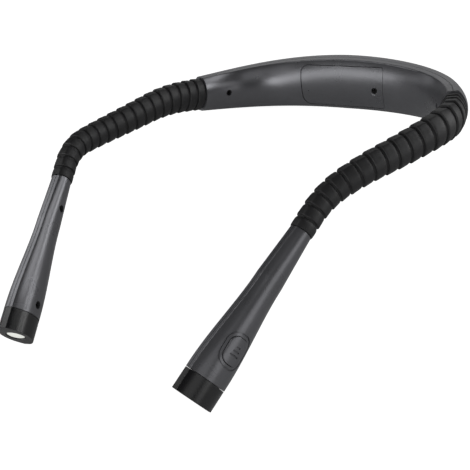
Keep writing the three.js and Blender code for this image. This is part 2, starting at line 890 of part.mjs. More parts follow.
function headCuts() {
  return [
    rod(homeFrame, linkBore, -gap, linkSocketDepth + gap),
    ...headScrewFrames.flatMap((frame, index) => pocketCuts(frame, headScrewSurfaces[index])),
    block(buttonFrame, [boardTop - boardThickness - gap, switchTop + gap],
      [-boardWidth / 2 - gap, boardWidth / 2 + gap], [-boardLength / 2 - gap, boardLength / 2 + gap]),
  ];
}

function headOuterShell() {
  const half = headHalf(1);
  const bosses = headScrewFrames.map((frame) => post(frame, bossDiameter, 0, headEndWidth));
  const shell = half.subtract(headHollow(1)).add(united(bosses).intersect(half));
  return cutBy(shell, [
    ...headCuts(),
    slab(buttonFrame, buttonShape(gap), 0, overrun),
    slab(buttonFrame, buttonShape(buttonFlange + gap), 0, buttonBase + buttonFlange + gap),
  ]);
}

// Two ribs of the inner shell carry the switch board.
function headInnerShell() {
  const half = headHalf(-1);
  const sockets = headScrewFrames.map((frame) => post(frame, socketDiameter, -headEndWidth, 0));
  const ribs = [-1, 1].map((side) => {
    const middle = side * boardRibSpacing / 2;
    return block(buttonFrame, [-headEndWidth, 0], [-boardWidth / 2, boardWidth / 2],
      [middle - boardRibThickness / 2, middle + boardRibThickness / 2]);
  });
  const shell = half.subtract(headHollow(-1)).add(united([...sockets, ...ribs]).intersect(half));
  return cutBy(shell, headCuts());
}

function buttonSolid() {
  const grown = headLoft(0, headLength, (section) => fullOutline(inset(section, -buttonProud)));
  const body = slab(buttonFrame, buttonShape(0), buttonBase, overrun).intersect(grown);
  return body.add(slab(buttonFrame, buttonShape(buttonFlange), buttonBase, buttonBase + buttonFlange));
}

// The lamp's stack, from the cap's front wall back to the shoulder the board rests on
const capStart = shellEnd + gap;
const capWallBack = headLength - capFrontWall;
const flangeFront = capWallBack - gap;
const flangeBack = flangeFront - lensFlangeThickness;
const reflectorFront = flangeBack - gap;
const shoulder = capStart + shoulderHeight;
const ledBoardBack = shoulder + gap;
const ledBoardFront = ledBoardBack + ledBoardThickness;
const reflectorBack = ledBoardFront + gap;
const lampRadius = lensFlangeDiameter / 2;

function capSolid() {
  const body = headLoft(capStart, headLength, (section) => fullOutline(section));
  const spigot = headLoft(shellEnd - spigotLength, shoulder, (section) => (
    fullOutline(inset(section, headWall + gap))
  ));
  return cutBy(body.add(spigot), [
    rod(homeFrame, lensHoleDiameter, shellEnd, headLength + capLength, fineSteps),
    rod(homeFrame, lensFlangeDiameter + 2 * lampBoreClearance, shoulder, capWallBack, fineSteps),
    rod(homeFrame, shoulderBoreDiameter, shellEnd - capLength, shoulder + gap, fineSteps),
  ]);
}

function lensSolid() {
  const radius = lensHoleDiameter / 2 - gap;
  return turned([
    [0, flangeBack],
    [lampRadius, flangeBack],
    [lampRadius, flangeFront],
    [radius, flangeFront],
    [radius, headLength - gap],
    [0, headLength - gap],
  ], fineSteps);
}

function reflectorSolid() {
  const throat = reflectorThroatDiameter / 2;
  return turned([
    [throat, reflectorBack],
    [throat + reflectorThickness, reflectorBack],
    [lampRadius, reflectorFront],
    [lampRadius - reflectorThickness, reflectorFront],
    [throat, reflectorBack],
  ], fineSteps);
}

function lampPieces(side) {
  const ledHalf = ledSize / 2;
  const led = block(homeFrame, [-ledHalf, ledHalf], [-ledHalf, ledHalf],
    [ledBoardFront + gap, ledBoardFront + gap + ledHeight]);
  return [
    piece(`${side}_cap`, capSolid(), blackPlastic),
    piece(`${side}_lens`, lensSolid(), clearLens),
    piece(`${side}_reflector`, reflectorSolid(), mirrorFinish),
    piece(`${side}_led_board`, rod(homeFrame, lensFlangeDiameter, ledBoardBack, ledBoardFront), boardGreen),
    piece(`${side}_led`, led, ledYellow),
  ];
}

function switchPieces(side) {
  const half = switchSize / 2;
  const board = block(homeFrame, [boardTop - boardThickness, boardTop],
    [-boardWidth / 2, boardWidth / 2], [-boardLength / 2, boardLength / 2]);
  const box = block(homeFrame, [switchTop - switchHeight, switchTop], [-half, half], [-half, half]);
  return [
    piece(`${side}_button`, buttonSolid(), greyPlastic),
    piece(`${side}_switch_board`, board, boardGreen, buttonFrame),
    piece(`${side}_switch`, box, blackPlastic, buttonFrame),
  ];
}

function headGroup(side, bends) {
  const group = new THREE.Group();
  group.name = `${side}_head`;
  group.add(
    piece(`${side}_head_outer_shell`, headOuterShell(), greyPlastic),
    piece(`${side}_head_inner_shell`, headInnerShell(), greyPlastic),
    ...headScrewFrames.map((frame, index) => (
      screw(`${side}_head_screw_${index + 1}`, frame, headScrewSurfaces[index])
    )),
    ...lampPieces(side),
    ...switchPieces(side),
  );
  return setAt(group, armFrame(bends, armLength));
}

// An arm with its head, as the one on the right; the left one is mirrored.
function armGroup(side, bends) {
  const group = new THREE.Group();
  group.name = `${side}_arm`;
  let edge = 0;
  stretchBands.forEach((bands, index) => {
    const next = edge + bands + (index === 0 ? rootBands : 0);
    group.add(sleeve(`${side}_sleeve_${index + 1}`, bends, edge, next));
    edge = next;
    const pivot = setAt(new THREE.Group(), armFrame(bends, stretchMiddle(index)));
    pivot.name = `${side}_pivot_${index + 1}`;
    group.add(pivot);
  });
  for (let index = 0; index <= stretchLengths.length; index += 1) {
    group.add(link(`${side}_link_${index + 1}`, bends, index));
  }
  group.add(headGroup(side, bends));
  return group;
}

// Laid on a table, the light rests on the yoke's lower edge and on the lower rims of both heads
function lowestPoint(group) {
  const point = new THREE.Vector3();
  const lowest = new THREE.Vector3(0, 0, Infinity);
  group.traverse((object) => {
    const corners = object.geometry?.attributes.position;
    for (let i = 0; corners && i < corners.count; i += 1) {
      point.fromBufferAttribute(corners, i).applyMatrix4(object.matrixWorld);
      if (point.z < lowest.z) {
        lowest.copy(point);
      }
    }
  });
  return lowest;
}

function layOnTable(light, supports) {
  const up = new THREE.Vector3(0, 0, 1);
  for (let round = 0; round < settleRounds; round += 1) {
    light.updateMatrixWorld(true);
    const [back, left, right] = supports.map(lowestPoint);
    const normal = left.sub(back).cross(right.sub(back)).normalize();
    light.quaternion.premultiply(new THREE.Quaternion().setFromUnitVectors(normal, up));
  }
  light.updateMatrixWorld(true);
  const box = new THREE.Box3().setFromObject(light, true);
  const middle = box.getCenter(new THREE.Vector3());
  light.position.set(-middle.x, -middle.y, -box.min.z);
}

const yoke = yokeGroup();
const rightArm = armGroup('right', rightBends);
const leftArm = armGroup('left', leftBends);
leftArm.scale.x = -1;
const light = new THREE.Group();
light.name = 'light';
light.add(yoke, rightArm, leftArm);
layOnTable(light, [yoke, leftArm, rightArm]);

const neckReadingLight = new THREE.Group();
neckReadingLight.name = 'neck_reading_light';
neckReadingLight.add(light);

export default neckReadingLight;
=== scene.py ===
import math

import bpy
from mathutils import Euler, Matrix, Quaternion, Vector


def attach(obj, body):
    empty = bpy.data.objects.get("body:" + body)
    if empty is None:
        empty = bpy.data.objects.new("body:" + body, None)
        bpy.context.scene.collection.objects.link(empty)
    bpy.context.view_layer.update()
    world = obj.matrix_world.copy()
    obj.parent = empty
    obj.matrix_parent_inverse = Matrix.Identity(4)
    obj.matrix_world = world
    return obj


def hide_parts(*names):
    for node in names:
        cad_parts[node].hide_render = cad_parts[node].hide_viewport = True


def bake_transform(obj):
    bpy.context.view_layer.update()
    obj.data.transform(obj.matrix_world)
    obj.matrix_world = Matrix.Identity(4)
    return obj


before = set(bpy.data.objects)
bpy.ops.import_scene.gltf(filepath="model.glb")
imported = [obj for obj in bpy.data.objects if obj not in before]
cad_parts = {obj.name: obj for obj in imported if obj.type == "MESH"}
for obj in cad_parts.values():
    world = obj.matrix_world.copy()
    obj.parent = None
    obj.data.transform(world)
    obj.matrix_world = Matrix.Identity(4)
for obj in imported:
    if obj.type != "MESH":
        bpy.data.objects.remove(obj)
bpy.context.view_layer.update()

# How the light lies. Its pieces are made as it is worn, in millimetres, with the arms' roots on the
# X axis and -Y forward. Then they are laid on the table, where the light rests on the yoke's lower
# edge and on both lamp heads. For that it is tipped back, rolled to its left and turned a little.
MILLIMETRE = 0.001
LYING_TIP = math.radians(-25.38247)
LYING_ROLL = math.radians(-7.53004)
LYING_TURN = math.radians(1.59764)
LYING_PLACE = Vector((6.7515, 71.8684, 33.9879))
LYING = (
    Matrix.Translation(LYING_PLACE)
    @ Euler((LYING_TIP, LYING_ROLL, LYING_TURN)).to_matrix().to_4x4()
)
ON_TABLE = Matrix.Scale(MILLIMETRE, 4) @ LYING

# Camera. It stands in front of the light, to the right of the middle and above it, and sees it from
# the lamp heads' side with the yoke at the far end.
CAMERA_TURN = math.radians(32.437)
CAMERA_RISE = math.radians(18.063)
CAMERA_ROLL = math.radians(-0.254)
CAMERA_PLACE = Vector((173.307, -357.679, 48.032))
SENSOR_WIDTH = 36
FOCAL_SHARE = 676.3 / 470

camera = bpy.data.objects.new("camera", bpy.data.cameras.new("camera"))
bpy.context.scene.collection.objects.link(camera)
bpy.context.scene.camera = camera
camera.data.sensor_width = SENSOR_WIDTH
camera.data.lens = FOCAL_SHARE * SENSOR_WIDTH
camera.data.clip_start = 0.01
camera.data.clip_end = 20
right = Vector((math.cos(CAMERA_TURN), math.sin(CAMERA_TURN), 0))
back = Vector((
    math.sin(CAMERA_TURN) * math.cos(CAMERA_RISE),
    -math.cos(CAMERA_TURN) * math.cos(CAMERA_RISE),
    math.sin(CAMERA_RISE),
))
right.rotate(Quaternion(back, CAMERA_ROLL))
camera_axes = Matrix((right, back.cross(right), back)).transposed()
camera.matrix_world = (
    Matrix.Translation(ON_TABLE @ CAMERA_PLACE) @ (LYING.to_3x3() @ camera_axes).to_4x4()
)

# Studio. A white table top that runs into a white surrounding, and soft lamps in a wide ring, most
# of them low: a long one in front, a strong one behind at the right, and weaker ones between.
ROOM_LIGHT = 0.02
WHITE = (1, 1, 1, 1)
TABLE_RADIUS = 4
TABLE_SIDES = 96
TABLE_TONE = (0.5, 0.5, 0.5, 1)
TABLE_ROUGHNESS = 0.9
TABLE_SHINE = 0.1
TABLE_GLOW = 0.07
TABLE_GLOW_SEEN = 0.93
scene = bpy.context.scene
scene.view_settings.view_transform = "Standard"


def nodes_of(material):
    material.use_nodes = True
    material.node_tree.nodes.clear()
    return material.node_tree.nodes, material.node_tree.links


def make_world():
    """A surrounding that gives little light and that the camera sees as white."""
    world = bpy.data.worlds.new("studio")
    scene.world = world
    nodes, links = nodes_of(world)
    light = nodes.new("ShaderNodeBackground")
    light.inputs["Color"].default_value = WHITE
    light.inputs["Strength"].default_value = ROOM_LIGHT
    white = nodes.new("ShaderNodeBackground")
    white.inputs["Color"].default_value = WHITE
    white.inputs["Strength"].default_value = 1
    mix = nodes.new("ShaderNodeMixShader")
    links.new(nodes.new("ShaderNodeLightPath").outputs["Is Camera Ray"], mix.inputs["Fac"])
    links.new(light.outputs[0], mix.inputs[1])
    links.new(white.outputs[0], mix.inputs[2])
    links.new(mix.outputs[0], nodes.new("ShaderNodeOutputWorld").inputs["Surface"])


def make_table_top():
    """A plain pale table top that takes the light's shadow and runs into the white around it."""
    bpy.ops.object.select_all(action="DESELECT")
    bpy.ops.mesh.primitive_circle_add(vertices=TABLE_SIDES, radius=TABLE_RADIUS, fill_type="NGON")
    top = bpy.context.object
    top.name = "table_top"
    material = bpy.data.materials.new("table_white")
    nodes, links = nodes_of(material)
    paint = nodes.new("ShaderNodeBsdfPrincipled")
    paint.inputs["Base Color"].default_value = TABLE_TONE
    paint.inputs["Roughness"].default_value = TABLE_ROUGHNESS
    paint.inputs["Specular IOR Level"].default_value = TABLE_SHINE
    glow = nodes.new("ShaderNodeEmission")
    glow.inputs["Color"].default_value = WHITE
    strength = nodes.new("ShaderNodeMapRange")
    strength.inputs["To Min"].default_value = TABLE_GLOW
    strength.inputs["To Max"].default_value = TABLE_GLOW_SEEN
    links.new(nodes.new("ShaderNodeLightPath").outputs["Is Camera Ray"], strength.inputs["Value"])
    links.new(strength.outputs[0], glow.inputs["Strength"])
    add = nodes.new("ShaderNodeAddShader")
    links.new(paint.outputs[0], add.inputs[0])
    links.new(glow.outputs[0], add.inputs[1])
    links.new(add.outputs[0], nodes.new("ShaderNodeOutputMaterial").inputs["Surface"])
    top.data.materials.append(material)


LAMP_DISTANCE = 1.2
LAMP_AIM = Vector((0, 0, 0.03))
# Each lamp's name, bearing and rise in degrees, width and height in metres, and power in watts.
LAMPS = (
    ("front_lamp", 195, 10, 1.5, 0.4, 5.2),
    ("front_right_low_lamp", 163, 11, 0.35, 0.35, 0.9),
    ("front_high_lamp", 180, 32, 0.5, 0.5, 0.5),
    ("front_left_lamp", -117, 8, 0.7, 0.4, 0.6),
    ("left_lamp", -85, 10, 0.5, 0.5, 0.5),
    ("left_high_lamp", -98, 53, 0.5, 0.5, 1.9),
    ("back_lamp", -22, 11, 1.1, 0.4, 0.88),
    ("back_high_lamp", 0, 30, 0.5, 0.5, 0.3),
    ("back_right_lamp", 48, 11, 0.6, 0.45, 3.1),
    ("back_right_high_lamp", 45, 40, 0.5, 0.5, 1.7),
    ("right_lamp", 88, 12, 0.9, 0.5, 1.55),
    ("front_right_lamp", 135, 40, 0.9, 0.6, 1),
)


def soft_lamp(name, bearing, rise, width, height, power):
    """A lamp panel that faces the reading light. Its bearing is clockwise from the back."""
    bearing, rise = math.radians(bearing), math.radians(rise)
    lamp = bpy.data.objects.new(name, bpy.data.lights.new(name, "AREA"))
    scene.collection.objects.link(lamp)
    lamp.data.shape = "RECTANGLE"
    lamp.data.size = width
    lamp.data.size_y = height
    lamp.data.energy = power
    lamp.location = LAMP_DISTANCE * Vector((
        math.sin(bearing) * math.cos(rise), math.cos(bearing) * math.cos(rise), math.sin(rise),
    ))
    lamp.rotation_mode = "QUATERNION"
    lamp.rotation_quaternion = (LAMP_AIM - lamp.location).to_track_quat("-Z", "Y")


make_world()
make_table_top()
for lamp in LAMPS:
    soft_lamp(*lamp)

# Yoke, outer shell. The moulded back of the battery housing, of satin dark grey plastic. It curves
# round behind the neck, bulges a little between a flat top and a flat bottom edge, and is screwed
# to the inner shell along a seam in the middle of both edges.
YOKE_HALF_SPAN = 80
YOKE_DEPTH = 47.4
YOKE_MIDDLE_REACH = 42.5
YOKE_ROOT_REACH = 40
YOKE_ROOT_SPLAY = math.radians(13)
YOKE_ARCH = 7.4
YOKE_MIDDLE_LEAN = 16.4
YOKE_ROOT_LEAN = 6.2
YOKE_RINGS = 96
SHELL_WALL = 1.8
SEAM = 0.13
EDGE_SOFTNESS = 0.5
ARC_STEPS = 14
ROUND_STEPS = 5
FLAT_STEPS = 3
QUARTER = ARC_STEPS + ROUND_STEPS + FLAT_STEPS
SIDES = 4 * QUARTER
SMOOTH_ANGLE = math.radians(32)


def section(front, back_reach, height, facet):
    """A flat-edged oval: its reach in, out and up from its middle, and the width of its flats."""
    return Vector((front, back_reach, height, facet))


YOKE_MIDDLE = section(8, 10.5, 15.9, 9)
YOKE_ROOT = section(7.1, 7.1, 10.5, 5.2)
YOKE_SLENDERING = 1.5


def quarter_outline(reach, height, facet, softness):
    """A quarter of a section, from its side's middle round the soft corner to its flat's middle."""
    half = facet / 2
    bulge = reach - half
    radius = (height ** 2 + bulge ** 2) / (2 * bulge)
    sweep = math.atan2(height, radius - bulge) - softness / radius
    points = [
        Vector((reach - radius + radius * math.cos(angle), radius * math.sin(angle)))
        for angle in (sweep * step / ARC_STEPS for step in range(ARC_STEPS + 1))
    ]
    start = points[-1]
    corner = Vector((half, height))
    end = Vector((half - softness, height))
    for step in range(1, ROUND_STEPS + 1):
        share = step / ROUND_STEPS
        points.append(start.lerp(corner, share).lerp(corner.lerp(end, share), share))
    points += [
        end.lerp(Vector((0, height)), step / FLAT_STEPS) for step in range(1, FLAT_STEPS + 1)
    ]
    return points


def outline(size, softness):
    """The whole section, counter-clockwise from the middle of its outer side."""
    front, back_reach, height, facet = size
    outer = quarter_outline(back_reach, height, facet, softness)
    inner = [Vector((-p.x, p.y)) for p in quarter_outline(front, height, facet, softness)]
    upper = outer + inner[-2::-1]
    return upper + [Vector((p.x, -p.y)) for p in upper[-2:0:-1]]


def frame_matrix(place, along, top):
    out = top.cross(along)
    return Matrix.Translation(place) @ Matrix((out, top, along)).transposed().to_4x4()


def yoke_frame(place):
    """Where the yoke is, and how it is turned, from -1 at its left end to 1 at its right end."""
    share = abs(place)
    side = -1 if place < 0 else 1
    rest = 1 - share
    ends = (
        Vector((0, YOKE_DEPTH)),
        Vector((YOKE_MIDDLE_REACH, YOKE_DEPTH)),
        Vector((
            YOKE_HALF_SPAN - YOKE_ROOT_REACH * math.sin(YOKE_ROOT_SPLAY),
            YOKE_ROOT_REACH * math.cos(YOKE_ROOT_SPLAY),
        )),
        Vector((YOKE_HALF_SPAN, 0)),
    )
    flat = (
        ends[0] * rest ** 3 + ends[1] * 3 * rest ** 2 * share
        + ends[2] * 3 * rest * share ** 2 + ends[3] * share ** 3
    )
    slope = (
        (ends[1] - ends[0]) * rest ** 2 + (ends[2] - ends[1]) * 2 * rest * share
        + (ends[3] - ends[2]) * share ** 2
    ).normalized()
    rise = YOKE_ARCH * (1 - (flat.x / YOKE_HALF_SPAN) ** 2)
    climb = -2 * YOKE_ARCH * flat.x * slope.x / YOKE_HALF_SPAN ** 2
    along = Vector((slope.x, side * slope.y, side * climb)).normalized()
    level = (Vector((0, 0, 1)) - along * along.z).normalized()
    lean = math.radians(YOKE_MIDDLE_LEAN + (YOKE_ROOT_LEAN - YOKE_MIDDLE_LEAN) * share ** 2)
    top = level * math.cos(lean) - level.cross(along) * math.sin(lean)
    return frame_matrix(Vector((side * flat.x, flat.y, rise)), along, top)


def yoke_section(place):
    return YOKE_MIDDLE.lerp(YOKE_ROOT, abs(place) ** YOKE_SLENDERING)


def only(piece):
    if bpy.context.mode != "OBJECT":
        bpy.ops.object.mode_set(mode="OBJECT")
    bpy.ops.object.select_all(action="DESELECT")
    piece.select_set(True)
    bpy.context.view_layer.objects.active = piece


def edit(piece, mode="FACE"):
    only(piece)
    bpy.ops.object.mode_set(mode="EDIT")
    bpy.ops.mesh.select_mode(type=mode)
    bpy.ops.mesh.select_all(action="SELECT")


def edit_edges(piece, test):
    """Edit mode with just the edges selected whose two ends pass the test."""
    edit(piece, "EDGE")
    bpy.ops.mesh.select_all(action="DESELECT")
    bpy.ops.object.mode_set(mode="OBJECT")
    corners = piece.data.vertices
    for edge in piece.data.edges:
        edge.select = test(*(corners[i].co for i in edge.vertices))
    bpy.ops.object.mode_set(mode="EDIT")


def blank(name, start, end, rings=1, capped=True):
    """A straight round bar along Z with a side for each step of a section's outline."""
    bpy.ops.object.select_all(action="DESELECT")
    bpy.ops.mesh.primitive_cylinder_add(
        vertices=SIDES, radius=1, depth=end - start, location=(0, 0, (start + end) / 2),
        end_fill_type="NGON" if capped else "NOTHING",
    )
    piece = bpy.context.object
    piece.name = name
    bpy.ops.object.transform_apply()
    if rings > 1:
        reach = (end - start) / 2
        edit_edges(piece, lambda a, b: abs(a.z - b.z) > reach)
        bpy.ops.mesh.subdivide(number_cuts=rings - 1)
        bpy.ops.object.mode_set(mode="OBJECT")
    return piece


def keep_half(piece, side):
    """Only the outer half, side 1, or the inner half, side -1."""
    edit(piece)
    bpy.ops.mesh.bisect(plane_co=(0, 0, 0), plane_no=(side, 0, 0), clear_inner=True)
    bpy.ops.object.mode_set(mode="OBJECT")


def lay(piece, frame_at, section_at, seam=0.0, softness=EDGE_SOFTNESS):
    """Gives a straight blank its section and lays it along its line. A half ends at its seam."""
    rings = {}
    for vertex in piece.data.vertices:
        x, y, z = vertex.co
        key = round(z, 4)
        if key not in rings:
            size = section_at(z)
            reach = size[1] if seam > 0 else size[0]
            rings[key] = frame_at(z), outline(size, softness), 1 - abs(seam) / reach
        place, points, squeeze = rings[key]
        share = math.atan2(y, x) / math.tau % 1 * SIDES
        near = int(share)
        point = points[near % SIDES].lerp(points[(near + 1) % SIDES], share - near)
        point *= math.hypot(x, y)
        vertex.co = place @ Vector((seam + point.x * squeeze, point.y, 0))


def finished(piece, kind, **values):
    """Applies one modifier."""
    only(piece)
    modifier = piece.modifiers.new(kind.lower(), kind)
    for name, value in values.items():
        setattr(modifier, name, value)
    bpy.ops.object.modifier_apply(modifier=modifier.name)


def thicken(piece, wall):
    finished(piece, "SOLIDIFY", thickness=wall, offset=-1, use_even_offset=True)


def carve(piece, tool, operation="DIFFERENCE"):
    finished(piece, "BOOLEAN", object=tool, operation=operation, solver="MANIFOLD")
    bpy.data.objects.remove(tool)


def copied(piece, name):
    other = piece.copy()
    other.data = piece.data.copy()
    other.name = name
    scene.collection.objects.link(other)
    return other


GRAIN_STRENGTH = 0.6
GRAIN_DETAIL = 3
MOTTLE_SCALE = 55
MOTTLE_DETAIL = 4
GLOSS_SPREAD = 0.1


def moulded(name, tone, roughness, grain_depth, grain=2600, mottle=0.12, metallic=0, shine=0.5):
    """Moulded plastic or rubber: a fine grain from the mould and slightly uneven tone and gloss."""
    material = bpy.data.materials.new(name)
    nodes, links = nodes_of(material)
    paint = nodes.new("ShaderNodeBsdfPrincipled")
    paint.inputs["Metallic"].default_value = metallic
    paint.inputs["Specular IOR Level"].default_value = shine
    place = nodes.new("ShaderNodeTexCoord")
    fine = nodes.new("ShaderNodeTexNoise")
    fine.inputs["Scale"].default_value = grain
    fine.inputs["Detail"].default_value = GRAIN_DETAIL
    links.new(place.outputs["Object"], fine.inputs["Vector"])
    bump = nodes.new("ShaderNodeBump")
    bump.inputs["Strength"].default_value = GRAIN_STRENGTH
    bump.inputs["Distance"].default_value = grain_depth * MILLIMETRE
    links.new(fine.outputs["Fac"], bump.inputs["Height"])
    links.new(bump.outputs["Normal"], paint.inputs["Normal"])
    broad = nodes.new("ShaderNodeTexNoise")
    broad.inputs["Scale"].default_value = MOTTLE_SCALE
    broad.inputs["Detail"].default_value = MOTTLE_DETAIL
    links.new(place.outputs["Object"], broad.inputs["Vector"])
    tones = nodes.new("ShaderNodeMix")
    tones.data_type = "RGBA"
    tones.inputs["A"].default_value = (*(value * (1 - mottle) for value in tone), 1)
    tones.inputs["B"].default_value = (*(value * (1 + mottle) for value in tone), 1)
    links.new(broad.outputs["Fac"], tones.inputs["Factor"])
    links.new(tones.outputs["Result"], paint.inputs["Base Color"])
    gloss = nodes.new("ShaderNodeMapRange")
    gloss.inputs["To Min"].default_value = roughness * (1 - GLOSS_SPREAD)
    gloss.inputs["To Max"].default_value = roughness * (1 + GLOSS_SPREAD)
    links.new(broad.outputs["Fac"], gloss.inputs["Value"])
    links.new(gloss.outputs["Result"], paint.inputs["Roughness"])
    links.new(paint.outputs[0], nodes.new("ShaderNodeOutputMaterial").inputs["Surface"])
    return material


def set_down(piece, finish, side=1, place=Matrix.Identity(4)):
    """Puts a piece in its place, on the left where side is -1, and lays it on the table."""
    piece.data.transform(ON_TABLE @ Matrix.Diagonal((side, 1, 1, 1)) @ place)
    if side < 0:
        edit(piece)
        bpy.ops.mesh.flip_normals()
    only(piece)
    bpy.ops.object.shade_smooth_by_angle(angle=SMOOTH_ANGLE)
    piece.data.materials.clear()
    piece.data.materials.append(finish)


grey_plastic = moulded(
    "satin_grey_plastic", (0.165, 0.166, 0.177), 0.28, 0.005, grain=1300, metallic=0.6,
)


def yoke_half(name, side):
    piece = blank(name, -1, 1, YOKE_RINGS)
    keep_half(piece, side)
    lay(piece, yoke_frame, yoke_section, side * SEAM)
    thicken(piece, SHELL_WALL)
    return piece


def rides(piece, body, slot, *nodes):
    """Hands a finished piece over: attaches it to what it moves with and hides the model parts it
    stands for. What it is made of, the slot, is not used.
    """
    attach(piece, body)
    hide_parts(*nodes)


yoke_back = yoke_half("yoke_back", 1)

# Yoke, inner shell, and the battery cover in it. The side towards the neck, of the same plastic.
# It has the battery opening in the middle, and a round screw pocket near each arm. The cover is a
# piece of the same curved wall with a thin gap all round, and one screw at its right end.
COVER_LENGTH = 54
COVER_HEIGHT = 24.6
COVER_LEFT_RADIUS = 4.7
COVER_RIGHT_RADIUS = 1.6
COVER_GAP = 0.35
COVER_GAP_SHIFT = 0.15
COVER_CUT_REACH = (-14, 7.5)
COVER_SCREW_DISTANCE = 22.2
COVER_SCREW_DROP = 1
YOKE_SCREW_DISTANCE = 83.5
POCKET_RADIUS = 1.9
POCKET_DEPTH = 2.2
POCKET_SOCKET = 2.8
POCKET_FLOOR = 1.2
CUT_OVERRUN = 4
ROUND_SIDES = 48


def bar(name, radius, start, end, place):
    """A round bar that runs along X of a place."""
    bpy.ops.object.select_all(action="DESELECT")
    bpy.ops.mesh.primitive_cylinder_add(
        vertices=ROUND_SIDES, radius=radius, depth=end - start,
        location=((start + end) / 2, 0, 0), rotation=(0, math.pi / 2, 0),
    )
    piece = bpy.context.object
    piece.name = name
    bpy.ops.object.transform_apply()
    piece.data.transform(place)
    return piece


def cushion(name, length, height, left_radius, right_radius, reach, place):
    """A block with rounded corners, long in Z and high in Y, that runs along X of a place."""
    bpy.ops.object.select_all(action="DESELECT")
    start, end = reach
    bpy.ops.mesh.primitive_cube_add(
        size=1, location=((start + end) / 2, 0, 0), scale=(end - start, height, length),
    )
    piece = bpy.context.object
    piece.name = name
    bpy.ops.object.transform_apply()
    for side, radius in ((-1, left_radius), (1, right_radius)):
        edit_edges(piece, lambda a, b: min(a.z * side, b.z * side) > 0 and a.y == b.y)
        bpy.ops.mesh.bevel(offset=radius, segments=8, affect="EDGES")
        bpy.ops.object.mode_set(mode="OBJECT")
    piece.data.transform(place)
    return piece


WALK_STEPS = 400


def yoke_place(distance):
    """The place on the yoke at a distance along its line from the middle."""
    walked = 0
    last = yoke_frame(0).translation.xy
    for step in range(1, WALK_STEPS + 1):
        here = yoke_frame(step / WALK_STEPS).translation.xy
        walked += (here - last).length
        last = here
        if walked >= distance:
            return step / WALK_STEPS
    return 1


middle = yoke_frame(0) @ Vector((-YOKE_MIDDLE.x, 0, 0))
cover_frame = frame_matrix(middle, Vector((1, 0, 0)), Vector((0, 0, 1)))
yoke_screw_place = yoke_place(YOKE_SCREW_DISTANCE)
yoke_screw_reach = yoke_section(yoke_screw_place).x
yoke_screw_frames = [yoke_frame(side * yoke_screw_place) for side in (-1, 1)]
cover_screw_at = yoke_frame(yoke_place(COVER_SCREW_DISTANCE)) @ Vector((
    -yoke_section(yoke_place(COVER_SCREW_DISTANCE)).x, -COVER_SCREW_DROP, 0,
))
cover_screw_frame = frame_matrix(
    cover_screw_at + Vector((0, YOKE_MIDDLE.x, 0)), Vector((1, 0, 0)), Vector((0, 0, 1)),
)


def sink_screw(piece, frame_at, reach):
    """A post inside the wall with the pocket for a screw's head in it."""
    floor = -reach + POCKET_DEPTH
    post = bar("post", POCKET_SOCKET, -reach + SHELL_WALL / 2, floor + POCKET_FLOOR, frame_at)
    carve(piece, post, "UNION")
    carve(piece, bar("pocket", POCKET_RADIUS, -reach - CUT_OVERRUN, floor, frame_at))


def cover_shape(grow):
    return cushion(
        "cover_shape", COVER_LENGTH + 2 * grow, COVER_HEIGHT + 2 * grow,
        COVER_LEFT_RADIUS + grow, COVER_RIGHT_RADIUS + grow, COVER_CUT_REACH, cover_frame,
    )


yoke_front = yoke_half("yoke_front", -1)
battery_cover = copied(yoke_front, "battery_lid")
opening = cover_shape(COVER_GAP)
opening.data.transform(Matrix.Translation((-COVER_GAP_SHIFT, 0, 0)))
carve(yoke_front, opening)
for screw_frame in yoke_screw_frames:
    sink_screw(yoke_front, screw_frame, yoke_screw_reach)
set_down(yoke_front, grey_plastic)
rides(yoke_front, "yoke", "grey_plastic", "yoke_inner_shell")

carve(battery_cover, cover_shape(0), "INTERSECT")
sink_screw(battery_cover, cover_screw_frame, YOKE_MIDDLE.x)
set_down(battery_cover, grey_plastic)
rides(battery_cover, "battery_cover", "grey_plastic", "battery_cover")

# Battery compartment. Moulded in one with the outer shell: two end partitions, two cradle ribs
# that are hollowed for the two cells, and the posts that the three screws run into.
CELL_LENGTH = 44.5
CELL_DIAMETER = 10.5
CELL_CLEARANCE = 0.3
CONTACT_ROOM = 5.1
COVER_POST_CLEARANCE = 4.1
COMPARTMENT_LENGTH = CELL_LENGTH + CONTACT_ROOM
COMPARTMENT_END = COVER_SCREW_DISTANCE - COVER_POST_CLEARANCE
PARTITION = 1.2
CRADLE_RIB = 1.5
CRADLE_PLACES = (-0.25, 0.25)
WALL_BLANK = (50, 40)
SCREW_POST_RADIUS = 2.3
SCREW_POST_REACH = (0.4, 14)
COVER_POST_REACH = (-4.1, 9.4)
RIB_MARGIN = 0.6


def yoke_frame_over(distance):
    return yoke_frame(math.copysign(yoke_place(abs(distance)), distance))


def stack_frame():
    """The frame midway between the cells, on the chord between the compartment's two ends."""
    start = yoke_frame_over(COMPARTMENT_END - COMPARTMENT_LENGTH)
    end = yoke_frame_over(COMPARTMENT_END)
    crest = yoke_frame_over(COMPARTMENT_END - COMPARTMENT_LENGTH / 2)
    along = (end.translation - start.translation).normalized()
    top = crest.col[1].xyz
    top = (top - along * along.dot(top)).normalized()
    place = frame_matrix((start.translation + end.translation) / 2, along, top)
    sag = (crest.translation - place.translation).dot(place.col[0].xyz)
    return place @ Matrix.Translation((sag / 2 + (YOKE_MIDDLE.y - YOKE_MIDDLE.x) / 2, 0, 0))


def yoke_core():
    """A solid that fills the yoke, a little inside its skin."""
    piece = blank("core", -1, 1, YOKE_RINGS)
    less = section(-RIB_MARGIN, -RIB_MARGIN, -RIB_MARGIN, -RIB_MARGIN)
    lay(piece, yoke_frame, lambda place: yoke_section(place) + less)
    return piece


